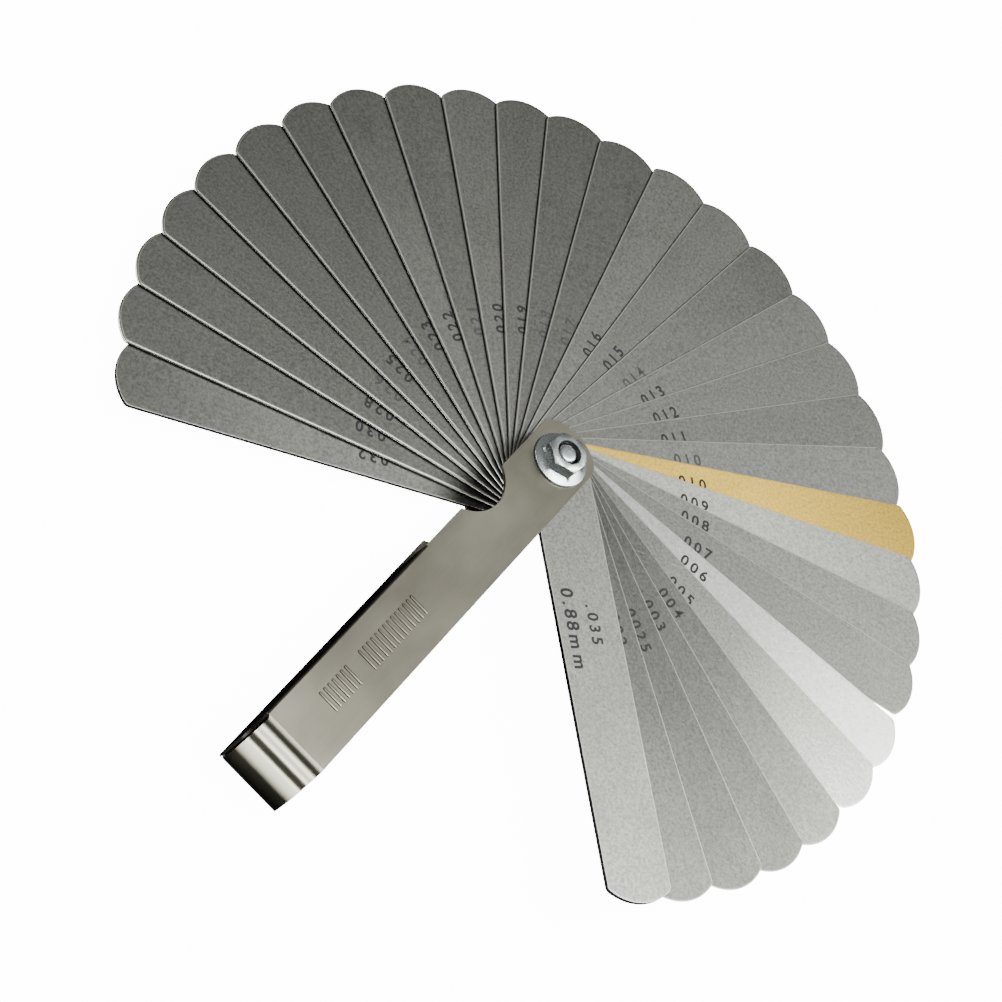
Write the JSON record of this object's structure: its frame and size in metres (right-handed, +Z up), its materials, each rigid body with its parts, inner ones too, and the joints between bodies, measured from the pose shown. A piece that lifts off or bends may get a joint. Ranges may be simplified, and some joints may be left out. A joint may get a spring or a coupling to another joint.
{
  "type": "feeler gauge",
  "caption": "Fan of thin marked thickness leaves, one of them brass, pivoting on a flange-nut screw in a folded sheet steel case with a thumb notch.",
  "frame": {"origin": "on the pivot axis, at the outer face of the screw head that the gauge lies on", "axes": "+Z up along the pivot axis towards the nut, +Y from the tail of the case towards the pivot and the middle of the fan, so the case points to -Y; +X is the open side of the case, where the leaves swing out"},
  "size_m": [0.1624, 0.1674, 0.0204],
  "materials": {
    "case_steel": "satin nickel plate",
    "plated_steel": "bright zinc plate",
    "leaf_steel": "ground and lightly oiled",
    "leaf_brass": "rolled",
    "etched_mark": "matte black etch"
  },
  "bodies": {
    "body": {"case": "case_steel", "pivot_screw": "plated_steel", "flange_nut": "plated_steel"},
    "leaf_035": {"leaf_035": "leaf_steel"},
    "leaf_0015": {"leaf_0015": "leaf_steel"},
    "leaf_002": {"leaf_002": "leaf_steel"},
    "leaf_0025": {"leaf_0025": "leaf_steel"},
    "leaf_003": {"leaf_003": "leaf_steel"},
    "leaf_004": {"leaf_004": "leaf_steel"},
    "leaf_005": {"leaf_005": "leaf_steel"},
    "leaf_006": {"leaf_006": "leaf_steel"},
    "leaf_007": {"leaf_007": "leaf_steel"},
    "leaf_008": {"leaf_008": "leaf_steel"},
    "leaf_009": {"leaf_009": "leaf_steel"},
    "leaf_010_brass": {"leaf_010_brass": "leaf_brass"},
    "leaf_010": {"leaf_010": "leaf_steel"},
    "leaf_011": {"leaf_011": "leaf_steel"},
    "leaf_012": {"leaf_012": "leaf_steel"},
    "leaf_013": {"leaf_013": "leaf_steel"},
    "leaf_014": {"leaf_014": "leaf_steel"},
    "leaf_015": {"leaf_015": "leaf_steel"},
    "leaf_016": {"leaf_016": "leaf_steel"},
    "leaf_017": {"leaf_017": "leaf_steel"},
    "leaf_018": {"leaf_018": "leaf_steel"},
    "leaf_019": {"leaf_019": "leaf_steel"},
    "leaf_020": {"leaf_020": "leaf_steel"},
    "leaf_021": {"leaf_021": "leaf_steel"},
    "leaf_022": {"leaf_022": "leaf_steel"},
    "leaf_023": {"leaf_023": "leaf_steel"},
    "leaf_024": {"leaf_024": "leaf_steel"},
    "leaf_025": {"leaf_025": "leaf_steel"},
    "leaf_026": {"leaf_026": "leaf_steel"},
    "leaf_028": {"leaf_028": "leaf_steel"},
    "leaf_030": {"leaf_030": "leaf_steel"},
    "leaf_032": {"leaf_032": "leaf_steel"}
  },
  "joints": [
    {"name": "swing_035", "type": "hinge", "parent": "body", "child": "leaf_035", "pos_m": [0, 0, 0.01], "axis": [0, 0, 1], "range_deg": [-48, 289.5]},
    {"name": "swing_0015", "type": "hinge", "parent": "body", "child": "leaf_0015", "pos_m": [0, 0, 0.01], "axis": [0, 0, 1], "range_deg": [-48, 289.5]},
    {"name": "swing_002", "type": "hinge", "parent": "body", "child": "leaf_002", "pos_m": [0, 0, 0.01], "axis": [0, 0, 1], "range_deg": [-55, 282.5]},
    {"name": "swing_0025", "type": "hinge", "parent": "body", "child": "leaf_0025", "pos_m": [0, 0, 0.01], "axis": [0, 0, 1], "range_deg": [-63.5, 274]},
    {"name": "swing_003", "type": "hinge", "parent": "body", "child": "leaf_003", "pos_m": [0, 0, 0.01], "axis": [0, 0, 1], "range_deg": [-71.5, 266]},
    {"name": "swing_004", "type": "hinge", "parent": "body", "child": "leaf_004", "pos_m": [0, 0, 0.01], "axis": [0, 0, 1], "range_deg": [-80, 257.5]},
    {"name": "swing_005", "type": "hinge", "parent": "body", "child": "leaf_005", "pos_m": [0, 0, 0.01], "axis": [0, 0, 1], "range_deg": [-89.5, 248]},
    {"name": "swing_006", "type": "hinge", "parent": "body", "child": "leaf_006", "pos_m": [0, 0, 0.01], "axis": [0, 0, 1], "range_deg": [-98, 239.5]},
    {"name": "swing_007", "type": "hinge", "parent": "body", "child": "leaf_007", "pos_m": [0, 0, 0.01], "axis": [0, 0, 1], "range_deg": [-108, 229.5]},
    {"name": "swing_008", "type": "hinge", "parent": "body", "child": "leaf_008", "pos_m": [0, 0, 0.01], "axis": [0, 0, 1], "range_deg": [-116, 221.5]},
    {"name": "swing_009", "type": "hinge", "parent": "body", "child": "leaf_009", "pos_m": [0, 0, 0.01], "axis": [0, 0, 1], "range_deg": [-124.5, 213]},
    {"name": "swing_010_brass", "type": "hinge", "parent": "body", "child": "leaf_010_brass", "pos_m": [0, 0, 0.01], "axis": [0, 0, 1], "range_deg": [-132.5, 205]},
    {"name": "swing_010", "type": "hinge", "parent": "body", "child": "leaf_010", "pos_m": [0, 0, 0.01], "axis": [0, 0, 1], "range_deg": [-141.5, 196]},
    {"name": "swing_011", "type": "hinge", "parent": "body", "child": "leaf_011", "pos_m": [0, 0, 0.01], "axis": [0, 0, 1], "range_deg": [-150, 187.5]},
    {"name": "swing_012", "type": "hinge", "parent": "body", "child": "leaf_012", "pos_m": [0, 0, 0.01], "axis": [0, 0, 1], "range_deg": [-158.5, 179]},
    {"name": "swing_013", "type": "hinge", "parent": "body", "child": "leaf_013", "pos_m": [0, 0, 0.01], "axis": [0, 0, 1], "range_deg": [-167, 170.5]},
    {"name": "swing_014", "type": "hinge", "parent": "body", "child": "leaf_014", "pos_m": [0, 0, 0.01], "axis": [0, 0, 1], "range_deg": [-176, 161.5]},
    {"name": "swing_015", "type": "hinge", "parent": "body", "child": "leaf_015", "pos_m": [0, 0, 0.01], "axis": [0, 0, 1], "range_deg": [-185, 152.5]},
    {"name": "swing_016", "type": "hinge", "parent": "body", "child": "leaf_016", "pos_m": [0, 0, 0.01], "axis": [0, 0, 1], "range_deg": [-193.5, 144]},
    {"name": "swing_017", "type": "hinge", "parent": "body", "child": "leaf_017", "pos_m": [0, 0, 0.01], "axis": [0, 0, 1], "range_deg": [-202.5, 135]},
    {"name": "swing_018", "type": "hinge", "parent": "body", "child": "leaf_018", "pos_m": [0, 0, 0.01], "axis": [0, 0, 1], "range_deg": [-211, 126.5]},
    {"name": "swing_019", "type": "hinge", "parent": "body", "child": "leaf_019", "pos_m": [0, 0, 0.01], "axis": [0, 0, 1], "range_deg": [-219, 118.5]},
    {"name": "swing_020", "type": "hinge", "parent": "body", "child": "leaf_020", "pos_m": [0, 0, 0.01], "axis": [0, 0, 1], "range_deg": [-227.5, 110]},
    {"name": "swing_021", "type": "hinge", "parent": "body", "child": "leaf_021", "pos_m": [0, 0, 0.01], "axis": [0, 0, 1], "range_deg": [-236.5, 101]},
    {"name": "swing_022", "type": "hinge", "parent": "body", "child": "leaf_022", "pos_m": [0, 0, 0.01], "axis": [0, 0, 1], "range_deg": [-245.5, 92]},
    {"name": "swing_023", "type": "hinge", "parent": "body", "child": "leaf_023", "pos_m": [0, 0, 0.01], "axis": [0, 0, 1], "range_deg": [-254, 83.5]},
    {"name": "swing_024", "type": "hinge", "parent": "body", "child": "leaf_024", "pos_m": [0, 0, 0.01], "axis": [0, 0, 1], "range_deg": [-263, 74.5]},
    {"name": "swing_025", "type": "hinge", "parent": "body", "child": "leaf_025", "pos_m": [0, 0, 0.01], "axis": [0, 0, 1], "range_deg": [-272, 65.5]},
    {"name": "swing_026", "type": "hinge", "parent": "body", "child": "leaf_026", "pos_m": [0, 0, 0.01], "axis": [0, 0, 1], "range_deg": [-280.5, 57]},
    {"name": "swing_028", "type": "hinge", "parent": "body", "child": "leaf_028", "pos_m": [0, 0, 0.01], "axis": [0, 0, 1], "range_deg": [-289, 48.5]},
    {"name": "swing_030", "type": "hinge", "parent": "body", "child": "leaf_030", "pos_m": [0, 0, 0.01], "axis": [0, 0, 1], "range_deg": [-297.5, 40]},
    {"name": "swing_032", "type": "hinge", "parent": "body", "child": "leaf_032", "pos_m": [0, 0, 0.01], "axis": [0, 0, 1], "range_deg": [-306, 31.5]}
  ]
}
